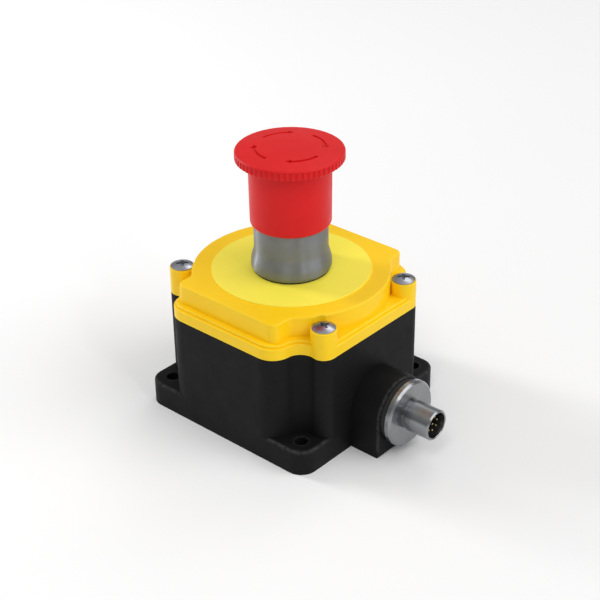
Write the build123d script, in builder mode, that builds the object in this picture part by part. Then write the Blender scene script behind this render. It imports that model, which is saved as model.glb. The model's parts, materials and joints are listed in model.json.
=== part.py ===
from build123d import *
import os
from math import sqrt, sin, cos, atan2, radians, degrees, hypot, pi

os.makedirs("parts", exist_ok=True)

# Emergency stop button in a square enclosure: black housing base, yellow lid,
# red turn-to-release mushroom head on a metal collar, M12 connector on one side.
# Frame: +Z up through the button axis, z = 0 the mounting face, origin at the
# centre of the four mounting holes, +X towards the connector.

# ---------------------------------------------------------------- dimensions
HALF = 40.0            # half side of the enclosure
EAR_R = 6.5            # corner radius of the mounting flange
FLANGE_T = 10.0        # thickness of the mounting flange
MOUNT = 33.0           # mounting holes at (+-33, +-33)
MOUNT_R = 2.65         # M5 clearance hole
SCREW_X, SCREW_Y = 35.2, 22.75   # lid screws
BOSS_R = 4.8           # outer radius of the corner beside a lid screw
LOBE_R = 8.0           # convex corner radius at the ends of the +-Y walls
BASE_TOP = 43.0        # parting face between base and lid
WALL = 3.0
RIM_TOP = 47.5         # top of the lid's rim
LEDGE_TOP = 48.6       # top of the second ledge of the lid
BOSS_TOP = 53.85       # seat of the lid screws
SCREW_HEAD_R = 4.35    # low domed heads
DECK_TOP = 56.2        # top of the lid
DECK_Y = 36.7          # flat sides of the raised deck
DECK_R = 37.4          # round sides of the raised deck
DECK_X = 24.2          # ends of the flat sides
DECK_CR = 3.2          # corner radius there
DECK_FR = 5.0          # inside radius between corner and round side
ROOF = 53.7            # underside of the lid's deck
LEGEND_R = 30.0
LEGEND_TOP = 56.7
HOLE_R = 11.15         # 22.3 mm hole for the collar's tail
TAIL_R = 11.0
SEAL_TOP = 57.2        # top of the gasket under the collar
FOOT_R = 14.3          # collar where it meets its gasket
COLLAR_R0 = 15.1       # widest part of the collar's foot
COLLAR_R1 = 13.85      # collar under the skirt
COLLAR_TOP = 90.0
SKIRT_IN = 14.15
SKIRT_Z = 75.7         # lower edge of the red skirt
HEAD_R = 20.0
HEAD_RIM = 100.9       # underside of the ribbed rim
HEAD_TOP = 104.4       # edge of the head's top face
HEAD_DOME = 105.7      # centre of the head's top face
RIBS = 60
TRAVEL = 5.0           # press travel
CONN_Z = 15.4          # height of the connector axis
CONN_BOSS_R = 13.0
CONN_BOSS_X = 52.7     # end of the moulded boss
CONN_SEAL_X = 54.9
CONN_DISC_X = 57.5
CONN_DISC_R = 12.8
NOSE_R = 5.9           # M12 thread, outside radius
NOSE_X = 69.1          # end of the connector
PIN_R, PIN_CIRCLE = 0.4, 2.75

SCREWS = [(sx * SCREW_X, sy * SCREW_Y) for sx in (1, -1) for sy in (1, -1)]
HOLES = [(sx * MOUNT, sy * MOUNT) for sx in (1, -1) for sy in (1, -1)]

# notch radius round the mounting hole, tangent to the screw corner,
# and the centre of the convex corner, tangent to the notch
NOTCH_R = hypot(SCREW_X - MOUNT, MOUNT - SCREW_Y) - BOSS_R
LOBE_Y = HALF - LOBE_R
LOBE_X = MOUNT - sqrt((LOBE_R + NOTCH_R) ** 2 - (MOUNT - LOBE_Y) ** 2)


def polar(c, r, a):
    return (c[0] + r * cos(radians(a)), c[1] + r * sin(radians(a)))


def bearing(a, b):
    return degrees(atan2(b[1] - a[1], b[0] - a[0]))


def wall_outline(d):
    """Outline of the enclosure walls with notched corners, d mm inside."""
    c1, cn, c3 = (LOBE_X, LOBE_Y), (MOUNT, MOUNT), (SCREW_X, SCREW_Y)
    a3 = bearing(c3, cn)
    n0 = bearing(cn, c3)
    n1 = bearing(cn, c1)
    if n1 > n0:
        n1 -= 360
    a1 = bearing(c1, cn)
    r1, rn, r3 = LOBE_R - d, NOTCH_R + d, BOSS_R - d
    p0, p1 = (HALF - d, 0), (HALF - d, SCREW_Y)
    p2 = polar(c3, r3, a3)
    p3 = polar(c1, r1, a1)
    p4, p5 = (LOBE_X, HALF - d), (0, HALF - d)
    with BuildSketch() as sk:
        with BuildLine():
            Line(p0, p1)
            ThreePointArc(p1, polar(c3, r3, a3 / 2), p2)
            ThreePointArc(p2, polar(cn, rn, (n0 + n1) / 2), p3)
            ThreePointArc(p3, polar(c1, r1, (a1 + 90) / 2), p4)
            Line(p4, p5)
            mirror(about=Plane.YZ)
            mirror(about=Plane.XZ)
        make_face()
    return sk.sketch


def deck_outline(d=0.0):
    """Outline of the raised deck, d mm inside."""
    R, Y, X, cr, fr = DECK_R - d, DECK_Y - d, DECK_X - d, DECK_CR, DECK_FR
    fx = X + fr
    fy = sqrt((R + fr) ** 2 - fx ** 2)
    af = degrees(atan2(fy, fx))
    c = (X - cr, Y - cr)
    f = (fx, fy)
    with BuildSketch() as sk:
        with BuildLine():
            Line((0, Y), (X - cr, Y))
            ThreePointArc((X - cr, Y), polar(c, cr, 45), (X, Y - cr))
            Line((X, Y - cr), (X, fy))
            ThreePointArc((X, fy), polar(f, fr, (180 + 180 + af) / 2), polar((0, 0), R, af))
            ThreePointArc(polar((0, 0), R, af), polar((0, 0), R, af / 2), (R, 0))
            mirror(about=Plane.YZ)
            mirror(about=Plane.XZ)
        make_face()
    return sk.sketch


def cavity_outline(d=WALL, r=6.0):
    """Inside of the walls, leaving a column round each lid screw."""
    with BuildSketch() as sk:
        add(wall_outline(d))
        with Locations(*SCREWS):
            Circle(r, mode=Mode.SUBTRACT)
    return sk.sketch


# plane through the connector axis: local x along +X, local y up from the axis
CONN_PLANE = Plane(origin=(0, 0, CONN_Z), x_dir=(1, 0, 0), z_dir=(0, -1, 0))
CONN_AXIS = Axis((0, 0, CONN_Z), (1, 0, 0))


def across(x):
    """Plane square to the connector axis at x: local x along +Y, local y up."""
    return Plane(origin=(x, 0, CONN_Z), x_dir=(0, 1, 0), z_dir=(1, 0, 0))


PCB_Z0, PCB_Z1 = 7.0, 8.6
STANDOFFS = [(sx * 23.0, sy * 19.0) for sx in (1, -1) for sy in (1, -1)]

# -------------------------------------------------------------- housing base
with BuildPart() as housing_base:
    with BuildSketch():
        RectangleRounded(2 * HALF, 2 * HALF, EAR_R)
    extrude(amount=FLANGE_T)
    fillet(housing_base.faces().sort_by(Axis.Z)[-1].edges(), radius=0.9)
    with BuildSketch():
        add(wall_outline(0))
    extrude(amount=BASE_TOP)
    # moulded boss that carries the connector
    with BuildSketch(Plane.YZ.offset(WALL + 33)):
        with Locations((0, CONN_Z)):
            Circle(CONN_BOSS_R)
        with Locations((0, CONN_Z / 2)):
            Rectangle(2 * CONN_BOSS_R, CONN_Z)
    extrude(amount=CONN_BOSS_X - WALL - 33)
    fillet(housing_base.faces().sort_by(Axis.X)[-1].edges(), radius=0.9)
    # parting edge
    chamfer(housing_base.faces().sort_by(Axis.Z)[-1].outer_wire().edges(), length=0.25)
    # inside
    with BuildSketch(Plane.XY.offset(WALL)):
        add(cavity_outline())
    extrude(amount=BASE_TOP - WALL, mode=Mode.SUBTRACT)
    # seat of the lid gasket
    with BuildSketch(Plane.XY.offset(BASE_TOP)):
        add(cavity_outline(1.6, 4.6))
    extrude(amount=-1.4, mode=Mode.SUBTRACT)
    # pockets of the threaded inserts
    with BuildSketch(Plane.XY.offset(BASE_TOP)):
        with Locations(*SCREWS):
            Circle(3.4)
    extrude(amount=-10.0, mode=Mode.SUBTRACT)
    # mounting holes
    with BuildSketch():
        with Locations(*HOLES):
            Circle(MOUNT_R)
    extrude(amount=FLANGE_T, mode=Mode.SUBTRACT)
    # bore for the connector, wide inside and narrow through the end wall
    with BuildSketch(across(HALF - WALL - 0.5)):
        Circle(10.5)
    extrude(amount=48.7 - (HALF - WALL - 0.5), mode=Mode.SUBTRACT)
    with BuildSketch(across(48.0)):
        Circle(8.05)
    extrude(amount=6.0, mode=Mode.SUBTRACT)
    # standoffs of the circuit board
    with BuildSketch(Plane.XY.offset(WALL)):
        with Locations(*STANDOFFS):
            Circle(3.0)
    extrude(amount=PCB_Z0 - WALL)
    with BuildSketch(Plane.XY.offset(PCB_Z0)):
        with Locations(*STANDOFFS):
            Circle(1.2)
    extrude(amount=-5.2, mode=Mode.SUBTRACT)
housing_base.part.label = "housing_base"
export_step(housing_base.part, "parts/housing_base.step")

# ----------------------------------------------------------------------- lid
# bosses under the heads of the lid screws, with a rounded top edge
with BuildPart() as lid_bosses:
    with BuildSketch(Plane.XY.offset(BASE_TOP + 1.0)):
        with Locations(*SCREWS):
            Circle(BOSS_R)
    extrude(amount=BOSS_TOP - BASE_TOP - 1.0)
    fillet(lid_bosses.faces().group_by(Axis.Z)[-1].edges(), radius=0.3)

with BuildPart() as lid:
    with BuildSketch(Plane.XY.offset(BASE_TOP)):
        add(wall_outline(0))
    extrude(amount=RIM_TOP - BASE_TOP)
    fillet(lid.faces().sort_by(Axis.Z)[-1].edges(), radius=0.4)
    chamfer(lid.faces().sort_by(Axis.Z)[0].edges(), length=0.25)
    with BuildSketch(Plane.XY.offset(RIM_TOP - 1.0)):
        add(wall_outline(1.0))
    extrude(amount=LEDGE_TOP - RIM_TOP + 1.0)
    fillet(lid.faces().sort_by(Axis.Z)[-1].edges(), radius=0.4)
    with BuildSketch(Plane.XY.offset(RIM_TOP - 2.0)):
        add(deck_outline())
    extrude(amount=DECK_TOP - RIM_TOP + 2.0)
    fillet(lid.faces().sort_by(Axis.Z)[-1].edges(), radius=0.7)
    # bosses of the lid screws, with the deck relieved round the heads
    with BuildSketch(Plane.XY.offset(BOSS_TOP)):
        with Locations(*SCREWS):
            Circle(BOSS_R + 0.2)
    extrude(amount=8.0, mode=Mode.SUBTRACT)
    add(lid_bosses.part)
    # inside, hole of the collar's tail, screw holes
    with BuildSketch(Plane.XY.offset(BASE_TOP)):
        Circle(34.0)
    extrude(amount=ROOF - BASE_TOP, mode=Mode.SUBTRACT)
    with BuildSketch(Plane.XY.offset(BASE_TOP)):
        Circle(HOLE_R)
        with Locations(*SCREWS):
            Circle(2.6)
    extrude(amount=20.0, mode=Mode.SUBTRACT)
lid.part.label = "lid"
export_step(lid.part, "parts/lid.step")

# ---------------------------------------------------------------- lid gasket
with BuildPart() as lid_gasket:
    with BuildSketch(Plane.XY.offset(BASE_TOP - 1.4)):
        add(cavity_outline(1.6, 4.6))
        add(cavity_outline(3.0, 6.0), mode=Mode.SUBTRACT)
    extrude(amount=1.4)
lid_gasket.part.label = "lid_gasket"
export_step(lid_gasket.part, "parts/lid_gasket.step")

# ---------------------------------------------------- lid screws and inserts
# one screw on the Z axis: shank, low domed head and a cross recess
SCREW_DOME = 0.95
DOME_R = (SCREW_HEAD_R ** 2 + SCREW_DOME ** 2) / (2 * SCREW_DOME)
MID_R = SCREW_HEAD_R / 2
MID_Z = BOSS_TOP + 0.4 + sqrt(DOME_R ** 2 - MID_R ** 2) - (DOME_R - SCREW_DOME)
with BuildPart() as lid_screw:
    with BuildSketch(Plane.XZ):
        with BuildLine():
            Polyline((0.0, 34.0), (1.9, 34.0), (2.45, 34.6), (2.45, BOSS_TOP), (SCREW_HEAD_R - 0.2, BOSS_TOP),
                     (SCREW_HEAD_R, BOSS_TOP + 0.2), (SCREW_HEAD_R, BOSS_TOP + 0.4))
            ThreePointArc((SCREW_HEAD_R, BOSS_TOP + 0.4), (MID_R, MID_Z), (0.0, BOSS_TOP + 0.4 + SCREW_DOME))
            Line((0.0, BOSS_TOP + 0.4 + SCREW_DOME), (0.0, 34.0))
        make_face()
    revolve(axis=Axis.Z)
    with BuildSketch(Plane.XY.offset(BOSS_TOP + 1.5)):
        Rectangle(4.4, 0.95)
        Rectangle(0.95, 4.4)
        Circle(1.2)
    extrude(amount=-1.5, mode=Mode.SUBTRACT)

with BuildPart() as lid_screws:
    for (x, y), turn in zip(SCREWS, (38, 71, 16, 52)):
        with Locations(Location((x, y, 0), (0, 0, turn))):
            add(lid_screw.part)
lid_screws.part.label = "lid_screws"
export_step(lid_screws.part, "parts/lid_screws.step")

with BuildPart() as lid_inserts:
    with BuildSketch(Plane.XY.offset(BASE_TOP - 10.0)):
        with Locations(*SCREWS):
            Circle(3.4)
            Circle(2.5, mode=Mode.SUBTRACT)
    extrude(amount=9.8)
lid_inserts.part.label = "lid_inserts"
export_step(lid_inserts.part, "parts/lid_inserts.step")

# ------------------------------------------------------------- legend plate
with BuildPart() as legend_plate:
    with BuildSketch(Plane.XY.offset(DECK_TOP)):
        Circle(LEGEND_R)
        Circle(HOLE_R, mode=Mode.SUBTRACT)
    extrude(amount=LEGEND_TOP - DECK_TOP)
    fillet(legend_plate.edges().filter_by(GeomType.CIRCLE).sort_by(SortBy.RADIUS)[-1], radius=0.2)
legend_plate.part.label = "legend_plate"
export_step(legend_plate.part, "parts/legend_plate.step")

# ------------------------------------------------------- collar and its nut
with BuildPart() as bezel_gasket:
    with BuildSketch(Plane.XY.offset(LEGEND_TOP)):
        Circle(FOOT_R)
        Circle(HOLE_R, mode=Mode.SUBTRACT)
    extrude(amount=SEAL_TOP - LEGEND_TOP)
bezel_gasket.part.label = "bezel_gasket"
export_step(bezel_gasket.part, "parts/bezel_gasket.step")

with BuildPart() as bezel:
    with BuildSketch(Plane.XZ):
        with BuildLine():
            Polyline((9.0, 40.0), (TAIL_R, 40.0), (TAIL_R, SEAL_TOP), (FOOT_R, SEAL_TOP))
            ThreePointArc((FOOT_R, SEAL_TOP), (COLLAR_R0 - 0.21, SEAL_TOP + 0.72),
                          (COLLAR_R0, SEAL_TOP + 1.7))
            Line((COLLAR_R0, SEAL_TOP + 1.7), (COLLAR_R0, SEAL_TOP + 2.4))
            Spline((COLLAR_R0, SEAL_TOP + 2.4), (COLLAR_R1, 66.3), tangents=((0, 1), (0, 1)))
            Polyline((COLLAR_R1, 66.3), (COLLAR_R1, COLLAR_TOP - 4.2),
                          (12.9, COLLAR_TOP - 4.2), (12.9, COLLAR_TOP - 2.0),
                          (COLLAR_R1, COLLAR_TOP - 2.0), (COLLAR_R1, COLLAR_TOP - 0.5),
                          (COLLAR_R1 - 0.5, COLLAR_TOP), (11.5, COLLAR_TOP),
                          (11.5, 58.0), (9.0, 58.0), (9.0, 40.0))
        make_face()
    revolve(axis=Axis.Z)
    # keyways that keep the pusher from turning
    with BuildSketch(Plane.XY.offset(40.0)):
        Rectangle(3.2, 2 * 10.15)
    extrude(amount=18.0, mode=Mode.SUBTRACT)
bezel.part.label = "bezel"
export_step(bezel.part, "parts/bezel.step")

with BuildPart() as mounting_nut:
    with BuildSketch(Plane.XY.offset(ROOF - 4.0)):
        Circle(14.2)
        Circle(11.05, mode=Mode.SUBTRACT)
        with PolarLocations(14.2, 6):
            Rectangle(2.0, 3.0, mode=Mode.SUBTRACT)
    extrude(amount=4.0)
mounting_nut.part.label = "mounting_nut"
export_step(mounting_nut.part, "parts/mounting_nut.step")

with BuildPart() as collar_seal:
    with BuildSketch(Plane.XY.offset(COLLAR_TOP - 4.2)):
        Circle(COLLAR_R1)
        Circle(12.9, mode=Mode.SUBTRACT)
    extrude(amount=2.2)
collar_seal.part.label = "collar_seal"
export_step(collar_seal.part, "parts/collar_seal.step")

# -------------------------------------------------------------- mushroom head
ARROW_Z = HEAD_DOME + 0.2
DOME_SPHERE = 144.0     # radius of the dome


def dome(r):
    """Height of the slightly domed top face at radius r."""
    return HEAD_DOME - (DOME_SPHERE - sqrt(DOME_SPHERE ** 2 - r ** 2))


with BuildPart() as mushroom_head:
    with BuildSketch(Plane.XZ):
        with BuildLine():
            Polyline((3.0, 82.2), (7.6, 82.2), (8.0, 82.6), (8.0, 97.5), (SKIRT_IN, 97.5),
                     (SKIRT_IN, SKIRT_Z + 0.2), (SKIRT_IN + 0.2, SKIRT_Z), (SKIRT_IN + 0.3, SKIRT_Z))
            ThreePointArc((SKIRT_IN + 0.3, SKIRT_Z), (14.88, SKIRT_Z + 0.42), (15.08, SKIRT_Z + 1.4))
            Polyline((15.08, SKIRT_Z + 1.4), (15.3, HEAD_RIM), (HEAD_R - 0.3, HEAD_RIM),
                     (HEAD_R, HEAD_RIM + 0.3), (HEAD_R, HEAD_TOP - 0.8))
            ThreePointArc((HEAD_R, HEAD_TOP - 0.8), (HEAD_R - 0.27, HEAD_TOP - 0.2),
                          (HEAD_R - 0.9, dome(HEAD_R - 0.9)))
            ThreePointArc((HEAD_R - 0.9, dome(HEAD_R - 0.9)), (10.0, dome(10.0)), (0.0, HEAD_DOME))
            Polyline((0.0, HEAD_DOME), (0.0, 101.0), (3.0, 101.0), (3.0, 82.2))
        make_face()
    revolve(axis=Axis.Z)
    # ribs round the rim
    with BuildSketch(Plane.XY.offset(HEAD_RIM - 1.0)):
        with PolarLocations(HEAD_R + 0.1, RIBS):
            Circle(0.62)
    extrude(amount=HEAD_TOP - 0.75 - HEAD_RIM + 1.0, mode=Mode.SUBTRACT)
    # four engraved arrows, pointing clockwise
    with BuildSketch(Plane.XY.offset(ARROW_Z)):
        for k in range(4):
            a0 = -115 + 90 * k - 21
            a1 = -115 + 90 * k + 26
            with BuildLine():
                ThreePointArc(polar((0, 0), 13.45, a0), polar((0, 0), 13.45, (a0 + a1) / 2), polar((0, 0), 13.45, a1))
                Line(polar((0, 0), 13.45, a1), polar((0, 0), 12.25, a1))
                ThreePointArc(polar((0, 0), 12.25, a1), polar((0, 0), 12.25, (a0 + a1) / 2), polar((0, 0), 12.25, a0))
                Line(polar((0, 0), 12.25, a0), polar((0, 0), 11.3, a0))
                Line(polar((0, 0), 11.3, a0), polar((0, 0), 12.85, a0 - 10))
                Line(polar((0, 0), 12.85, a0 - 10), polar((0, 0), 14.4, a0))
                Line(polar((0, 0), 14.4, a0), polar((0, 0), 13.45, a0))
            make_face()
    extrude(amount=-(ARROW_Z - dome(12.8) + 0.6), mode=Mode.SUBTRACT)
mushroom_head.part.label = "mushroom_head"
export_step(mushroom_head.part, "parts/mushroom_head.step")

# ------------------------------------------- spindle, its screw, the pusher
with BuildPart() as spindle:
    with BuildSketch(Plane.XZ):
        with BuildLine():
            Polyline((1.6, 46.0), (3.0, 46.0), (3.0, 100.9), (0.0, 100.9), (0.0, 57.0),
                     (1.6, 57.0), (1.6, 46.0))
        make_face()
    revolve(axis=Axis.Z)
spindle.part.label = "spindle"
export_step(spindle.part, "parts/spindle.step")

with BuildPart() as spindle_screw:
    with BuildSketch(Plane.XY.offset(45.9)):
        Circle(1.6)
    extrude(amount=10.0)
    with BuildSketch(Plane.XY.offset(43.9)):
        Circle(4.2)
        RegularPolygon(1.7, 6, mode=Mode.SUBTRACT)
    extrude(amount=1.4)
    with BuildSketch(Plane.XY.offset(45.3)):
        Circle(4.2)
    extrude(amount=0.6)
spindle_screw.part.label = "spindle_screw"
export_step(spindle_screw.part, "parts/spindle_screw.step")

with BuildPart() as pusher:
    with BuildSketch(Plane.XZ):
        with BuildLine():
            Polyline((4.6, 40.0), (8.9, 40.0), (8.9, 80.0), (11.2, 80.0), (11.2, 82.0),
                     (3.06, 82.0), (3.06, 46.0), (4.6, 46.0), (4.6, 40.0))
        make_face()
    revolve(axis=Axis.Z)
    with BuildSketch(Plane.XY.offset(44.0)):
        with Locations((0, 9.2), (0, -9.2)):
            Rectangle(3.0, 1.5)
    extrude(amount=12.0)
pusher.part.label = "pusher"
export_step(pusher.part, "parts/pusher.step")

with BuildPart() as head_spring:
    with BuildLine():
        Helix(pitch=3.45, height=20.7, radius=10.2, center=(0, 0, 58.65))
    with BuildSketch(Plane(origin=(10.2, 0, 58.65), x_dir=(1, 0, 0), z_dir=(0, -1, 0))):
        Circle(0.5)
    sweep(is_frenet=True)
head_spring.part.label = "head_spring"
export_step(head_spring.part, "parts/head_spring.step")

# spring wire clip in the collar's bore that the head snaps past when it latches
with BuildPart() as latch_clip:
    with BuildSketch(Plane.XY.offset(87.0)):
        Circle(11.45)
        Circle(10.3, mode=Mode.SUBTRACT)
        with Locations((10.9, 0)):
            Rectangle(4.0, 3.0, mode=Mode.SUBTRACT)
    extrude(amount=1.0)
latch_clip.part.label = "latch_clip"
export_step(latch_clip.part, "parts/latch_clip.step")

# ---------------------------------------------- contact carrier and contacts
BLOCK_Z0, BLOCK_Z1 = 14.0, 34.5
BLOCK_C, BLOCK_W, BLOCK_L = 6.5, 11.0, 36.0
CHAMBER = (16.0, 32.5)

with BuildPart() as contact_carrier:
    with BuildSketch(Plane.XY.offset(BLOCK_Z1)):
        Circle(14.3)
        Circle(10.4, mode=Mode.SUBTRACT)
    extrude(amount=40.0 - BLOCK_Z1)
    with BuildSketch(Plane.XY.offset(40.0)):
        Circle(14.3)
        Circle(11.05, mode=Mode.SUBTRACT)
    extrude(amount=6.0)
    with BuildSketch(Plane.XY.offset(BLOCK_Z1)):
        with Locations((13.0, 0), (-13.0, 0)):
            Rectangle(2.0, 8.0)
    extrude(amount=4.0)
    # hooks that clip over the outer side of each block
    with BuildSketch(Plane.XY.offset(BLOCK_Z1 - 4.0)):
        with Locations((13.0, 0), (-13.0, 0)):
            Rectangle(1.6, 6.0)
    extrude(amount=4.0)
contact_carrier.part.label = "contact_carrier"
export_step(contact_carrier.part, "parts/contact_carrier.step")


def contact_block(sx):
    """One snap-on contact block: closed chamber, slots for the fixed contacts, screw wells."""
    cx = sx * BLOCK_C
    with BuildPart() as block:
        with BuildSketch(Plane.XY.offset(BLOCK_Z0)):
            with Locations((cx, 0)):
                Rectangle(BLOCK_W, BLOCK_L)
        extrude(amount=BLOCK_Z1 - BLOCK_Z0)
        fillet(block.edges().filter_by(Axis.Z), radius=0.6)
        with BuildSketch(Plane.XY.offset(CHAMBER[0])):
            with Locations((cx, 0)):
                Rectangle(BLOCK_W - 2.4, 23.0)
        extrude(amount=CHAMBER[1] - CHAMBER[0], mode=Mode.SUBTRACT)
        with BuildSketch(Plane.XY.offset(CHAMBER[1])):
            with Locations((cx, 0)):
                Circle(1.7)
        extrude(amount=4.0, mode=Mode.SUBTRACT)
        # slots of the fixed contacts
        with BuildSketch(Plane.XY.offset(26.3)):
            with Locations((cx, 14.75), (cx, -14.75)):
                Rectangle(5.0, 7.0)
        extrude(amount=0.8, mode=Mode.SUBTRACT)
        # terminal screw wells and holes
        with BuildSketch(Plane.XY.offset(31.0)):
            with Locations((cx, 15.3), (cx, -15.3)):
                Circle(2.45)
        extrude(amount=5.0, mode=Mode.SUBTRACT)
        with BuildSketch(Plane.XY.offset(23.0)):
            with Locations((cx, 15.3), (cx, -15.3)):
                Circle(1.4)
        extrude(amount=9.0, mode=Mode.SUBTRACT)
    return block.part


for side, sx in (("a", 1), ("b", -1)):
    with BuildPart() as contact_block_side:
        add(contact_block(sx))
    contact_block_side.part.label = "contact_block_" + side
    export_step(contact_block_side.part, "parts/contact_block_" + side + ".step")

    with BuildPart() as push_rod:
        with BuildSketch(Plane.XY.offset(22.0)):
            with Locations((sx * BLOCK_C, 0)):
                Circle(1.6)
        extrude(amount=39.9 - 22.0)
        fillet(push_rod.faces().sort_by(Axis.Z)[-1].edges(), radius=0.4)
    push_rod.part.label = "push_rod_" + side
    export_step(push_rod.part, "parts/push_rod_" + side + ".step")

    # moving contact bridge with its two silver tips
    with BuildPart() as bridge:
        with BuildSketch(Plane.XY.offset(24.5)):
            with Locations((sx * BLOCK_C, 0)):
                Rectangle(4.8, 20.0)
                Circle(1.6, mode=Mode.SUBTRACT)
        extrude(amount=0.8)
        with BuildSketch(Plane.XY.offset(25.3)):
            with Locations((sx * BLOCK_C, 8.8), (sx * BLOCK_C, -8.8)):
                Circle(1.1)
        extrude(amount=0.4)
    bridge.part.label = "bridge_" + side
    export_step(bridge.part, "parts/bridge_" + side + ".step")

    with BuildPart() as contact_spring:
        with BuildLine():
            Helix(pitch=1.6, height=8.0, radius=2.55, center=(sx * BLOCK_C, 0, 16.25))
        with BuildSketch(Plane(origin=(sx * BLOCK_C + 2.55, 0, 16.25), x_dir=(1, 0, 0), z_dir=(0, -1, 0))):
            Circle(0.2)
        sweep(is_frenet=True)
    contact_spring.part.label = "contact_spring_" + side
    export_step(contact_spring.part, "parts/contact_spring_" + side + ".step")

CONTACTS = [(sx * BLOCK_C, sy) for sx in (1, -1) for sy in (1, -1)]
with BuildPart() as fixed_contacts:
    with BuildSketch(Plane.XY.offset(26.3)):
        with Locations(*[(x, s * 12.7) for x, s in CONTACTS]):
            Rectangle(5.0, 11.0)
        with Locations(*[(x, s * 15.3) for x, s in CONTACTS]):
            Circle(1.4, mode=Mode.SUBTRACT)
    extrude(amount=0.8)
    with BuildSketch(Plane.XY.offset(25.8)):
        with Locations(*[(x, s * 8.8) for x, s in CONTACTS]):
            Circle(1.1)
    extrude(amount=0.5)
fixed_contacts.part.label = "fixed_contacts"
export_step(fixed_contacts.part, "parts/fixed_contacts.step")

with BuildPart() as terminal_screws:
    with BuildSketch(Plane.XY.offset(23.6)):
        with Locations(*[(x, s * 15.3) for x, s in CONTACTS]):
            Circle(1.4)
    extrude(amount=31.0 - 23.6)
    with BuildSketch(Plane.XY.offset(31.0)):
        with Locations(*[(x, s * 15.3) for x, s in CONTACTS]):
            Circle(2.3)
    extrude(amount=1.8)
    with BuildSketch(Plane.XY.offset(32.8)):
        with Locations(*[(x, s * 15.3) for x, s in CONTACTS]):
            Rectangle(4.8, 0.7)
    extrude(amount=-0.9, mode=Mode.SUBTRACT)
terminal_screws.part.label = "terminal_screws"
export_step(terminal_screws.part, "parts/terminal_screws.step")

# -------------------------------------------------------------- circuit board
with BuildPart() as circuit_board:
    with BuildSketch(Plane.XY.offset(PCB_Z0)):
        RectangleRounded(54.0, 46.0, 1.5)
        with Locations(*STANDOFFS):
            Circle(1.35, mode=Mode.SUBTRACT)
    extrude(amount=PCB_Z1 - PCB_Z0)
circuit_board.part.label = "circuit_board"
export_step(circuit_board.part, "parts/circuit_board.step")

with BuildPart() as board_screws:
    with BuildSketch(Plane.XY.offset(3.0)):
        with Locations(*STANDOFFS):
            Circle(1.2)
    extrude(amount=PCB_Z1 - 3.0)
    with BuildSketch(Plane.XY.offset(PCB_Z1)):
        with Locations(*STANDOFFS):
            Circle(2.3)
    extrude(amount=1.5)
    with BuildSketch(Plane.XY.offset(PCB_Z1 + 1.5)):
        with Locations(*STANDOFFS):
            Rectangle(3.0, 0.6)
            Rectangle(0.6, 3.0)
    extrude(amount=-0.8, mode=Mode.SUBTRACT)
board_screws.part.label = "board_screws"
export_step(board_screws.part, "parts/board_screws.step")

with BuildPart() as board_chips:
    with BuildSketch(Plane.XY.offset(PCB_Z1)):
        with Locations((-8, 2)):
            Rectangle(9.9, 6.0)
        with Locations((-20, -10), (-20, 4)):
            Rectangle(5.0, 4.0)
        with Locations((6, 10), (10, 10), (14, 10), (6, -8), (10, -8)):
            Rectangle(2.0, 1.25)
    extrude(amount=1.6)
board_chips.part.label = "board_chips"
export_step(board_chips.part, "parts/board_chips.step")

with BuildPart() as board_capacitor:
    with BuildSketch(Plane.XY.offset(PCB_Z1)):
        with Locations((-20.5, 12)):
            Circle(2.5)
    extrude(amount=5.4)
    fillet(board_capacitor.faces().sort_by(Axis.Z)[-1].edges(), radius=0.4)
board_capacitor.part.label = "board_capacitor"
export_step(board_capacitor.part, "parts/board_capacitor.step")

HEADER_Y = [2.5 * (i - 3.5) for i in range(8)]
with BuildPart() as board_header:
    with BuildSketch(Plane.XY.offset(PCB_Z1)):
        with Locations((23.0, 0)):
            Rectangle(5.0, 21.5)
    extrude(amount=5.0)
    with BuildSketch(Plane(origin=(25.5, 0, 11.3), x_dir=(0, 1, 0), z_dir=(1, 0, 0))):
        with Locations(*[(y, 0) for y in HEADER_Y]):
            Circle(0.5)
    extrude(amount=-1.5, mode=Mode.SUBTRACT)
board_header.part.label = "board_header"
export_step(board_header.part, "parts/board_header.step")

# ------------------------------------------------------------------ connector
with BuildPart() as connector_seal:
    with BuildSketch(across(CONN_BOSS_X)):
        Circle(11.9)
        Circle(8.05, mode=Mode.SUBTRACT)
    extrude(amount=CONN_SEAL_X - CONN_BOSS_X)
connector_seal.part.label = "connector_seal"
export_step(connector_seal.part, "parts/connector_seal.step")

with BuildPart() as connector_shell:
    with BuildSketch(CONN_PLANE):
        with BuildLine():
            Polyline((44.0, 6.6), (44.0, 8.0), (CONN_SEAL_X, 8.0), (CONN_SEAL_X, CONN_DISC_R - 0.3),
                     (CONN_SEAL_X + 0.3, CONN_DISC_R), (CONN_DISC_X - 0.8, CONN_DISC_R),
                     (CONN_DISC_X, CONN_DISC_R - 0.8), (CONN_DISC_X, NOSE_R - 0.5),
                     (58.4, NOSE_R - 0.5), (58.9, NOSE_R), (NOSE_X - 0.5, NOSE_R), (NOSE_X, NOSE_R - 0.5),
                     (NOSE_X, 5.15), (NOSE_X - 0.2, 4.95), (57.0, 4.95), (57.0, 6.6), (44.0, 6.6))
        make_face()
    revolve(axis=CONN_AXIS)
connector_shell.part.label = "connector_shell"
export_step(connector_shell.part, "parts/connector_shell.step")

PINS = [(0.0, 0.0)] + [polar((0, 0), PIN_CIRCLE, 90 + 360 / 14 + 360 / 7 * i) for i in range(7)]
with BuildPart() as connector_insert:
    with BuildSketch(across(45.0)):
        Circle(6.6)
    extrude(amount=12.0)
    with BuildSketch(across(57.0)):
        Circle(4.95)
    extrude(amount=4.0)
    # coding rib
    with BuildSketch(across(61.0)):
        with Locations((0, 4.4)):
            Rectangle(1.0, 0.8)
    extrude(amount=6.5)
    with BuildSketch(across(45.0)):
        with Locations(*PINS):
            Circle(PIN_R)
    extrude(amount=20.0, mode=Mode.SUBTRACT)
connector_insert.part.label = "connector_insert"
export_step(connector_insert.part, "parts/connector_insert.step")

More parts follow.
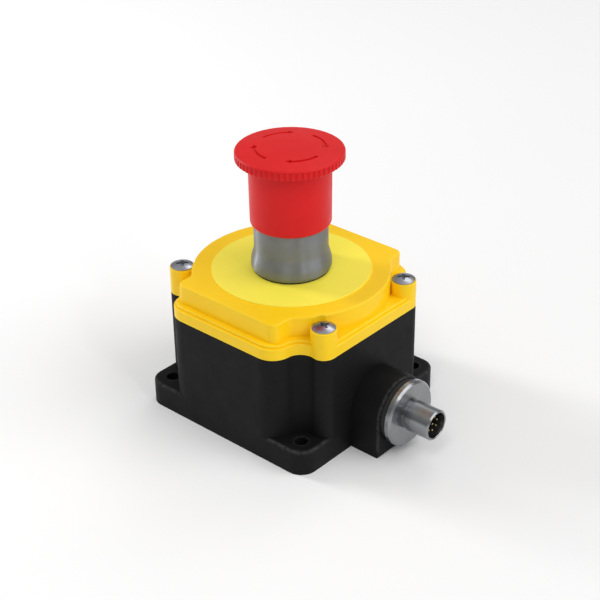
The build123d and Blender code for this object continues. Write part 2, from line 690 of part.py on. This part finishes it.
with BuildPart() as connector_pins:
    with BuildSketch(across(42.0)):
        with Locations(*PINS):
            Circle(PIN_R)
    extrude(amount=67.4 - 42.0)
    fillet(connector_pins.faces().group_by(Axis.X)[-1].edges(), radius=0.3)
connector_pins.part.label = "connector_pins"
export_step(connector_pins.part, "parts/connector_pins.step")

with BuildPart() as connector_nut:
    with BuildSketch(across(45.7)):
        RegularPolygon(10.2, 6)
        Circle(8.05, mode=Mode.SUBTRACT)
    extrude(amount=3.0)
connector_nut.part.label = "connector_nut"
export_step(connector_nut.part, "parts/connector_nut.step")

# leads from the connector to the header on the board
order = sorted(range(8), key=lambda i: (PINS[i][0], PINS[i][1]))
with BuildPart() as connector_leads:
    for j, i in enumerate(order):
        y0, z0 = PINS[i][0], CONN_Z + PINS[i][1]
        y1 = HEADER_Y[j]
        with BuildLine() as path:
            FilletPolyline((42.0, y0, z0), (37.5, y0, z0), (30.5, y1, 11.3), (25.5, y1, 11.3), radius=2.5)
        with BuildSketch(Plane(origin=(42.0, y0, z0), x_dir=(0, 1, 0), z_dir=(-1, 0, 0))):
            Circle(0.4)
        sweep(path=path.line)
connector_leads.part.label = "connector_leads"
export_step(connector_leads.part, "parts/connector_leads.step")

# leads from the terminals to the board
with BuildPart() as contact_leads:
    for x, s in CONTACTS:
        with BuildLine() as path:
            FilletPolyline((x, s * 18.2, 26.7), (x, s * 21.4, 26.7), (x, s * 21.4, PCB_Z1), radius=2.6)
        with BuildSketch(Plane(origin=(x, s * 18.2, 26.7), x_dir=(1, 0, 0), z_dir=(0, s, 0))):
            Circle(0.4)
        sweep(path=path.line)
contact_leads.part.label = "contact_leads"
export_step(contact_leads.part, "parts/contact_leads.step")
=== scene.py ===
import bpy, bmesh, json, math, random
from mathutils import Vector, Matrix


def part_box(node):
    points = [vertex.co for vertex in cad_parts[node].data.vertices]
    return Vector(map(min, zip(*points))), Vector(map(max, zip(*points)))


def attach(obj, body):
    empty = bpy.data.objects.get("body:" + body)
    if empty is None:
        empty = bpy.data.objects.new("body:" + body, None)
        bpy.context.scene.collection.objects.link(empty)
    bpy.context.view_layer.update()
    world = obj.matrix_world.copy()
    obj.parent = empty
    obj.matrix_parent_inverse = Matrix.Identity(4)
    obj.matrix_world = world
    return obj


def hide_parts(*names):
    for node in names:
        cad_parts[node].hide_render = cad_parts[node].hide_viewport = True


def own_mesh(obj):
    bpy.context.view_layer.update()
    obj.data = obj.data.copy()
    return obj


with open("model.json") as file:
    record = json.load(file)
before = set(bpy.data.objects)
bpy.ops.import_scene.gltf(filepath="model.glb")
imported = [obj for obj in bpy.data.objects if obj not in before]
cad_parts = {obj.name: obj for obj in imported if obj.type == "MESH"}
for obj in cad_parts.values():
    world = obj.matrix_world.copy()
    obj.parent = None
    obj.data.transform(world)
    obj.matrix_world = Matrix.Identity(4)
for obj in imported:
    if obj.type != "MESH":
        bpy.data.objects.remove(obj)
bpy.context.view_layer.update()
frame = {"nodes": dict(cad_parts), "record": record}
nodes = frame["nodes"]
scene = bpy.context.scene
MM = 0.001


# ------------------------------------------------------------------ colours
def lin(r, g, b):
    """sRGB 0..255 to linear RGBA."""
    def f(c):
        c /= 255.0
        return c / 12.92 if c <= 0.04045 else ((c + 0.055) / 1.055) ** 2.4
    return (f(r), f(g), f(b), 1.0)


def tone(c, k):
    return (min(1.0, c[0] * k), min(1.0, c[1] * k), min(1.0, c[2] * k), 1.0)


# ---------------------------------------------------------------- materials
class Mat:
    """A small helper that wires one procedural material."""

    def __init__(self, name):
        self.m = bpy.data.materials.new(name)
        self.m.use_nodes = True
        self.t = self.m.node_tree
        self.t.nodes.clear()
        self.out = self.t.nodes.new("ShaderNodeOutputMaterial")
        self.b = self.t.nodes.new("ShaderNodeBsdfPrincipled")
        self.t.links.new(self.b.outputs[0], self.out.inputs[0])
        self.pos = self.t.nodes.new("ShaderNodeTexCoord").outputs["Object"]

    def set(self, **kw):
        for k, v in kw.items():
            self.b.inputs[k.replace("_", " ")].default_value = v
        return self

    def node(self, kind, **kw):
        n = self.t.nodes.new(kind)
        for k, v in kw.items():
            setattr(n, k, v)
        return n

    def link(self, a, b):
        self.t.links.new(a, b)

    def scaled(self, sx=1.0, sy=1.0, sz=1.0, src=None):
        n = self.node("ShaderNodeMapping")
        n.inputs["Scale"].default_value = (sx, sy, sz)
        self.link(src or self.pos, n.inputs["Vector"])
        return n.outputs[0]

    def noise(self, scale, detail=2.0, rough=0.5, src=None):
        n = self.node("ShaderNodeTexNoise")
        n.inputs["Scale"].default_value = scale
        n.inputs["Detail"].default_value = detail
        n.inputs["Roughness"].default_value = rough
        self.link(src or self.pos, n.inputs["Vector"])
        return n.outputs["Fac"]

    def voronoi(self, scale, src=None, feature="F1"):
        n = self.node("ShaderNodeTexVoronoi", feature=feature)
        n.inputs["Scale"].default_value = scale
        self.link(src or self.pos, n.inputs["Vector"])
        return n.outputs["Distance"]

    def remap(self, src, a, b, lo, hi):
        n = self.node("ShaderNodeMapRange")
        n.inputs["From Min"].default_value = a
        n.inputs["From Max"].default_value = b
        n.inputs["To Min"].default_value = lo
        n.inputs["To Max"].default_value = hi
        self.link(src, n.inputs["Value"])
        return n.outputs[0]

    def math(self, op, a, b):
        n = self.node("ShaderNodeMath", operation=op)
        for i, x in enumerate((a, b)):
            if isinstance(x, (int, float)):
                n.inputs[i].default_value = x
            else:
                self.link(x, n.inputs[i])
        return n.outputs[0]

    def mix(self, fac, a, b):
        n = self.node("ShaderNodeMix", data_type="RGBA")
        if isinstance(fac, (int, float)):
            n.inputs[0].default_value = fac
        else:
            self.link(fac, n.inputs[0])
        for i, x in ((6, a), (7, b)):
            if isinstance(x, tuple):
                n.inputs[i].default_value = x
            else:
                self.link(x, n.inputs[i])
        return n.outputs[2]

    def bump(self, height, strength, dist):
        n = self.node("ShaderNodeBump")
        n.inputs["Strength"].default_value = strength
        n.inputs["Distance"].default_value = dist
        self.link(height, n.inputs["Height"])
        return n

    def edges(self, reach):
        """1 along outer edges and small rounds, 0 on open faces and in inner corners."""
        ao = self.node("ShaderNodeAmbientOcclusion", samples=8, inside=True, only_local=True)
        ao.inputs["Distance"].default_value = reach
        return self.remap(ao.outputs["AO"], 0.60, 0.93, 1.0, 0.0)

    def color(self, src):
        self.link(src, self.b.inputs["Base Color"])

    def rough(self, src):
        self.link(src, self.b.inputs["Roughness"])

    def normal(self, n):
        self.link(n.outputs[0], self.b.inputs["Normal"])


def plastic(name, col, rough=0.42, grain=0.15, grain_mm=0.25, var=0.06, spec=0.5, dust=0.0, edge=0.0, coat=0.0,
            wear_and_highlight=None, width=0.00035, below=None):
    """Moulded plastic: fine eroded grain, slow colour drift, faint flow marks, lighter edges that are partly rubbed
    wear and partly a painted highlight.
    """
    m = Mat(name)
    m.set(IOR=1.49)
    m.b.inputs["Specular IOR Level"].default_value = spec
    if coat:
        m.b.inputs["Coat Weight"].default_value = coat
        m.b.inputs["Coat Roughness"].default_value = 0.12
    slow = m.noise(55.0, 3.0, 0.55)
    c = m.mix(m.remap(slow, 0.35, 0.65, 0.0, 1.0), tone(col, 1.0 - var), tone(col, 1.0 + var))
    if dust:
        d = m.noise(420.0, 4.0, 0.7)
        c = m.mix(m.remap(d, 0.62, 0.80, 0.0, dust), c, tone(col, 1.5) if col[0] > 0.1 else (0.12, 0.12, 0.12, 1))
    # painted highlight: outer edges and small rounds get a lighter colour, partly rubbed wear and partly standing in
    # for light caught by the rounded edges
    if edge:
        e = m.math("MULTIPLY", m.edges(width), edge)
        if below:
            z = m.node("ShaderNodeSeparateXYZ")
            m.link(m.pos, z.inputs[0])
            e = m.math("MULTIPLY", e, m.remap(z.outputs[2], below - 0.002, below, 1.0, 0.0))
            e = m.math("MULTIPLY", e, m.remap(z.outputs[2], 0.0015, 0.0035, 0.0, 1.0))
            # the mouths of the mounting holes sit under a screw head and get neither the rubbed wear nor the painted
            # edge highlight
            fx = m.math("SUBTRACT", m.math("ABSOLUTE", z.outputs[0], 0.0), 0.033)
            fy = m.math("SUBTRACT", m.math("ABSOLUTE", z.outputs[1], 0.0), 0.033)
            d = m.math("ADD", m.math("MULTIPLY", fx, fx), m.math("MULTIPLY", fy, fy))
            e = m.math("MULTIPLY", e, m.remap(d, 0.0038 ** 2, 0.0045 ** 2, 0.15, 1.0))
        w = m.math("MULTIPLY", e, m.remap(m.noise(650.0, 3.0, 0.6), 0.38, 0.62, 0.15, 1.0))
        c = m.mix(w, c, wear_and_highlight or tone(col, 1.25))
    m.color(c)
    m.rough(m.remap(m.noise(160.0, 4.0, 0.6), 0.3, 0.7, rough - 0.05, rough + 0.07))
    gr = m.noise(1000.0 / grain_mm * 0.5, 3.0, 0.6)
    fl = m.noise(90.0, 1.0, 0.4)
    h = m.math("ADD", m.math("MULTIPLY", gr, 0.8), m.math("MULTIPLY", fl, 0.6))
    m.normal(m.bump(h, grain, 0.00012))
    return m.m


def metal(name, col, rough=0.3, turn=None, turn_scale=5200.0, var=0.08, grain=0.1, metallic=1.0, spots=0.0, aniso=0.0):
    """Machined or plated metal: turning marks along one axis, cloudy plating, roughness drift."""
    m = Mat(name)
    m.set(Metallic=metallic)
    if aniso:
        # turned on a lathe: highlights stretch along the axis of the part
        m.set(Anisotropic=aniso, Anisotropic_Rotation=0.25)
        tg = m.node("ShaderNodeTangent", direction_type="RADIAL", axis=turn.upper())
        m.link(tg.outputs[0], m.b.inputs["Tangent"])
    cl = m.noise(120.0, 4.0, 0.6)
    c = m.mix(m.remap(cl, 0.3, 0.7, 0.0, 1.0), tone(col, 1.0 - var), tone(col, 1.0 + var))
    if spots:
        s = m.noise(700.0, 3.0, 0.65)
        c = m.mix(m.remap(s, 0.60, 0.75, 0.0, spots), c, tone(col, 0.35))
    m.color(c)
    m.rough(m.remap(m.noise(260.0, 4.0, 0.65), 0.3, 0.7, rough - 0.06, rough + 0.08))
    fine = m.noise(2600.0, 2.0, 0.6)
    if turn:
        k = {"x": (turn_scale, 12.0, 12.0), "z": (12.0, 12.0, turn_scale), "y": (12.0, turn_scale, 12.0)}[turn]
        st = m.noise(1.0, 2.0, 0.5, m.scaled(*k))
        h = m.math("ADD", m.math("MULTIPLY", st, 0.8), m.math("MULTIPLY", fine, 0.35))
    else:
        h = fine
    m.normal(m.bump(h, grain, 0.00006))
    return m.m


def rubber(name, col=(0.018, 0.018, 0.018, 1.0), rough=0.62):
    m = Mat(name)
    d = m.noise(300.0, 4.0, 0.65)
    m.color(m.mix(m.remap(d, 0.4, 0.75, 0.0, 1.0), col, tone(col, 1.9)))
    m.rough(m.remap(m.noise(500.0, 3.0, 0.6), 0.3, 0.7, rough - 0.08, rough + 0.1))
    m.normal(m.bump(m.noise(1800.0, 3.0, 0.6), 0.25, 0.00008))
    return m.m


M = {}
M["base_black"] = plastic("base_black", lin(20, 20, 21), rough=0.54, grain=0.11, grain_mm=0.3, var=0.05, spec=0.12, dust=0.02, edge=0.9, wear_and_highlight=(0.16, 0.16, 0.163, 1), width=0.0012, below=0.032)
M["lid_yellow"] = plastic("lid_yellow", lin(255, 209, 14), rough=0.38, grain=0.10, grain_mm=0.35, var=0.02, spec=0.30, edge=0.5, wear_and_highlight=lin(255, 228, 84), width=0.0009)
M["legend_yellow"] = plastic("legend_yellow", lin(255, 239, 80), rough=0.42, grain=0.08, grain_mm=0.2, var=0.015, spec=0.25)
M["head_red"] = plastic("head_red", lin(216, 25, 28), rough=0.42, grain=0.10, grain_mm=0.25, var=0.03, spec=0.20, edge=0.10, wear_and_highlight=lin(236, 60, 55), width=0.0008)
M["collar_metal"] = metal("collar_metal", lin(130, 135, 144), rough=0.40, turn="z", var=0.05, grain=0.10, metallic=0.75, aniso=0.92)
M["screw_steel"] = metal("screw_steel", lin(166, 168, 176), rough=0.30, turn=None, var=0.08, grain=0.10, spots=0.35)
M["connector_metal"] = metal("connector_metal", lin(146, 148, 151), rough=0.30, turn="x", var=0.06, grain=0.08, aniso=0.5)
M["nut_steel"] = metal("nut_steel", lin(170, 170, 172), rough=0.32, var=0.08)
M["insert_brass"] = metal("insert_brass", lin(205, 170, 95), rough=0.30)
M["pin_gold"] = metal("pin_gold", lin(170, 155, 112), rough=0.28)
M["contact_silver"] = metal("contact_silver", lin(205, 203, 198), rough=0.25)
M["rubber_black"] = rubber("rubber_black", (0.010, 0.010, 0.010, 1.0))
M["gasket_grey"] = rubber("gasket_grey", (0.05, 0.05, 0.05, 1.0), 0.8)
M["insert_black"] = plastic("insert_black", lin(22, 22, 22), rough=0.5, grain=0.15, spec=0.2)
M["pusher_white"] = plastic("pusher_white", lin(225, 225, 220), rough=0.4, grain=0.08)
M["spindle_steel"] = metal("spindle_steel", lin(180, 180, 184), rough=0.25, turn="z")
M["spring_steel"] = metal("spring_steel", lin(150, 150, 155), rough=0.28)
M["carrier_grey"] = plastic("carrier_grey", lin(90, 92, 96), rough=0.45)
M["block_dark"] = plastic("block_dark", lin(48, 52, 60), rough=0.42)
M["rod_red"] = plastic("rod_red", lin(200, 60, 50), rough=0.4)
M["board_green"] = plastic("board_green", lin(18, 98, 55), rough=0.28, grain=0.05)
M["chip_black"] = plastic("chip_black", lin(26, 26, 27), rough=0.5)
M["can_aluminium"] = metal("can_aluminium", lin(205, 205, 205), rough=0.3)
M["header_white"] = plastic("header_white", lin(225, 222, 212), rough=0.45)
M["lead_blue"] = plastic("lead_blue", lin(40, 70, 160), rough=0.4)

slot_of = {s["node"]: s["material_slot"] for s in frame["record"]["subparts"]}
for n, o in nodes.items():
    mat = M[slot_of[n]]
    if not o.material_slots:
        o.data.materials.append(mat)
    for s in o.material_slots:
        s.material = mat


# ------------------------------------------------------------------- springs
def coil(name, node, cx, radius, wire, z0, z1, turns):
    """Compression spring with a closed turn at each end."""
    closed = 2.04 * wire
    pitch = (z1 - z0 - 2 * closed) / turns
    steps, ring = 28, 14

    def height(t):
        if t < 1:
            return z0 + closed * t
        if t < 1 + turns:
            return z0 + closed + pitch * (t - 1)
        return z0 + closed + pitch * turns + closed * (t - 1 - turns)

    bm = bmesh.new()
    rows = []
    total = int((turns + 2) * steps)
    for i in range(total + 1):
        t = i / steps
        a = 2 * math.pi * t
        rise = (height(min(t + 0.5 / steps, turns + 2)) - height(max(t - 0.5 / steps, 0))) * steps / (2 * math.pi)
        radial = Vector((math.cos(a), math.sin(a), 0))
        along = Vector((-radius * math.sin(a), radius * math.cos(a), rise)).normalized()
        side = along.cross(radial)
        c = Vector((cx + radius * math.cos(a), radius * math.sin(a), height(t)))
        rows.append([bm.verts.new((c + (radial * math.cos(k) + side * math.sin(k)) * wire) * MM)
                     for k in (2 * math.pi * j / ring for j in range(ring))])
    for r0, r1 in zip(rows, rows[1:]):
        for j in range(ring):
            f = bm.faces.new((r0[j], r0[(j + 1) % ring], r1[(j + 1) % ring], r1[j]))
            f.smooth = True
    bm.faces.new(rows[0])
    bm.faces.new(rows[-1])
    bmesh.ops.recalc_face_normals(bm, faces=bm.faces)
    me = bpy.data.meshes.new(name)
    bm.to_mesh(me)
    bm.free()
    me.materials.append(M["spring_steel"])
    o = bpy.data.objects.new(name, me)
    scene.collection.objects.link(o)
    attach(o, "housing")
    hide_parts(node)
    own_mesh(o)
    return o


def middle(node):
    lo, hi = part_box(node)
    return (lo[0] + hi[0]) * 500.0


coil("head_spring_coil", "head_spring", 0.0, 10.2, 0.5, 58.65, 79.35, 6)
for side in ("a", "b"):
    coil("contact_coil_" + side, "contact_spring_" + side, middle("contact_spring_" + side),
         2.55, 0.2, 16.25, 24.25, 5)

# ------------------------------------------------------------------- camera
az, el = math.radians(41.709), math.radians(30.130)
roll = math.radians(-0.760)
back = Vector((math.sin(az) * math.cos(el), -math.cos(az) * math.cos(el), math.sin(el)))
right = Vector((math.cos(az), math.sin(az), 0.0))
up = back.cross(right)
R = right * math.cos(roll) + up * math.sin(roll)
U = -right * math.sin(roll) + up * math.cos(roll)
C = Vector((0, 0, 41.851)) + right * 2.951 + back * 544.729
cam_data = bpy.data.cameras.new("camera")
cam_data.lens = 86.34
cam_data.sensor_width = 36.0
cam_data.clip_start = 0.01
cam_data.clip_end = 60.0
cam = bpy.data.objects.new("camera", cam_data)
scene.collection.objects.link(cam)
mw = Matrix.Identity(4)
for i in range(3):
    mw[i][0], mw[i][1], mw[i][2], mw[i][3] = R[i], U[i], back[i], C[i] * MM
cam.matrix_world = mw
scene.camera = cam

# ------------------------------------------------------- floor, light, world
fm = bpy.data.meshes.new("floor")
s = 12.0
fm.from_pydata([(-s, -s, 0), (s, -s, 0), (s, s, 0), (-s, s, 0)], [], [(0, 1, 2, 3)])
floor = bpy.data.objects.new("floor", fm)
scene.collection.objects.link(floor)
mf = Mat("floor")
mf.color(mf.mix(mf.remap(mf.noise(2.0, 2.0, 0.5), 0.3, 0.7, 0, 1), (0.925, 0.925, 0.925, 1), (0.945, 0.945, 0.945, 1)))
mf.set(Roughness=0.95)
mf.b.inputs["Specular IOR Level"].default_value = 0.0
fm.materials.append(mf.m)
floor.location.z = -0.00002

# soft sky: brightest overhead, dimmer towards the horizon
world = bpy.data.worlds.new("studio")
world.use_nodes = True
wt = world.node_tree
bg = wt.nodes["Background"]
bg.inputs[0].default_value = (1.0, 1.0, 1.0, 1.0)
tc = wt.nodes.new("ShaderNodeTexCoord")
sep = wt.nodes.new("ShaderNodeSeparateXYZ")
wt.links.new(tc.outputs["Generated"], sep.inputs[0])
ramp = wt.nodes.new("ShaderNodeMapRange")
ramp.inputs["From Min"].default_value = 0.0
ramp.inputs["From Max"].default_value = 1.0
ramp.inputs["To Min"].default_value = 0.14
ramp.inputs["To Max"].default_value = 0.60
wt.links.new(sep.outputs[2], ramp.inputs["Value"])
# a pale band at the horizon, where the floor ends
band = wt.nodes.new("ShaderNodeMapRange")
band.inputs["From Min"].default_value = 0.06
band.inputs["From Max"].default_value = 0.16
band.inputs["To Min"].default_value = 0.70
band.inputs["To Max"].default_value = 0.0
wt.links.new(sep.outputs[2], band.inputs["Value"])
sky = wt.nodes.new("ShaderNodeMath")
sky.operation = "MAXIMUM"
wt.links.new(ramp.outputs[0], sky.inputs[0])
wt.links.new(band.outputs[0], sky.inputs[1])
wt.links.new(sky.outputs[0], bg.inputs[1])
scene.world = world


def aim(o, pos, target):
    o.location = pos
    o.rotation_mode = "QUATERNION"
    o.rotation_quaternion = (Vector(target) - Vector(pos)).to_track_quat("-Z", "Y")


def area(name, pos, target, size, power, size_y=None, col=(1, 1, 1)):
    d = bpy.data.lights.new(name, "AREA")
    d.energy = power
    d.color = col
    d.size = size
    if size_y:
        d.shape = "RECTANGLE"
        d.size_y = size_y
    o = bpy.data.objects.new(name, d)
    scene.collection.objects.link(o)
    aim(o, pos, target)
    return o


def sun(name, pos, strength, angle):
    d = bpy.data.lights.new(name, "SUN")
    d.energy = strength
    d.angle = math.radians(angle)
    o = bpy.data.objects.new(name, d)
    scene.collection.objects.link(o)
    aim(o, pos, (0, 0, 0))
    return o


sun("key", (0.84, 0.40, 0.72), 1.17, 50)
area("left", (-0.72, -0.24, 0.62), (0, 0, 0.05), 0.10, 1.3, 0.30)
area("low_left", (-0.83, -0.20, 0.30), (0, 0, 0.06), 0.12, 2.0, 0.5)
area("front_top", (0.24, -0.46, 0.80), (0.02, 0, 0.04), 0.30, 1.1)
area("back", (-0.15, 0.60, 0.80), (0, 0, 0.05), 0.35, 1.0)
area("glint", (0.74, -0.16, 0.58), (0, 0, 0.04), 0.04, 0.6)

scene.view_settings.view_transform = "Standard"
scene.view_settings.look = "None"
scene.view_settings.exposure = 0.0
